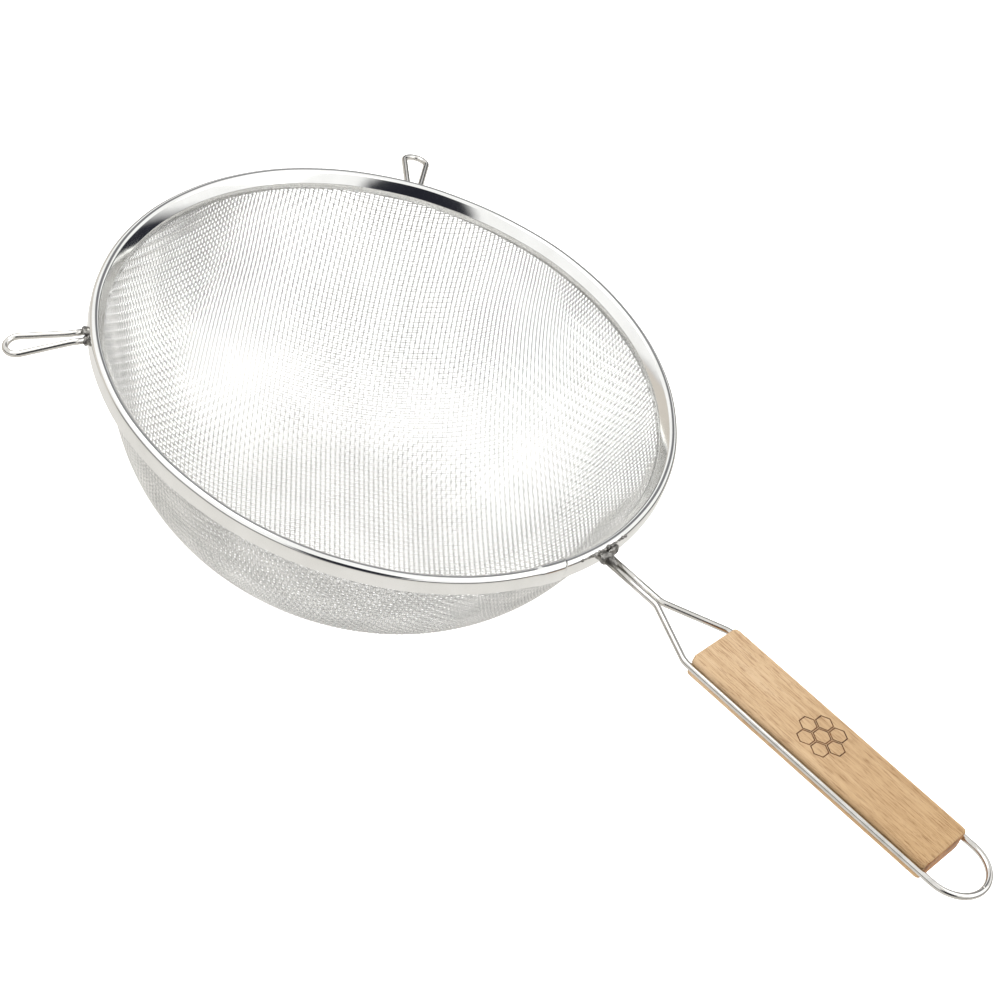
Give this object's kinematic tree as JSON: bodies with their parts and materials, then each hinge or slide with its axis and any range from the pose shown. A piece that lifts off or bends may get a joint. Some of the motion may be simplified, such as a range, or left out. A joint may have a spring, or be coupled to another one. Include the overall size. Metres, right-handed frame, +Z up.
{
  "type": "double sieve strainer",
  "caption": "Round-bottomed double wire mesh sieve with a rolled metal rim, bent wire rest ears and a wire handle with a wooden grip and hanging loop.",
  "frame": {"origin": "centre of the flat on the underside of the outer bowl, the surface the sieve stands on", "axes": "+Z up through the bowl's open mouth, +X along the handle away from the bowl, +Y to the left of the handle"},
  "size_m": [0.4649, 0.2635, 0.0994],
  "materials": {
    "rim_steel": "polished",
    "hoop_steel": "drawn wire",
    "mesh_inner_steel": "woven bright wire",
    "mesh_outer_steel": "woven bright wire",
    "wire_steel": "bright plated wire",
    "solder": "dull grey solder",
    "light_wood": "bare sanded"
  },
  "bodies": {
    "root": {"rim_band": "rim_steel", "rim_core_wire": "hoop_steel", "inner_mesh": "mesh_inner_steel", "outer_mesh": "mesh_outer_steel", "ear_left": "wire_steel", "ear_right": "wire_steel", "ear_weld_left": "solder", "ear_weld_right": "solder", "handle_wire": "wire_steel", "handle_weld": "solder", "wood_grip": "light_wood"}
  },
  "joints": []
}
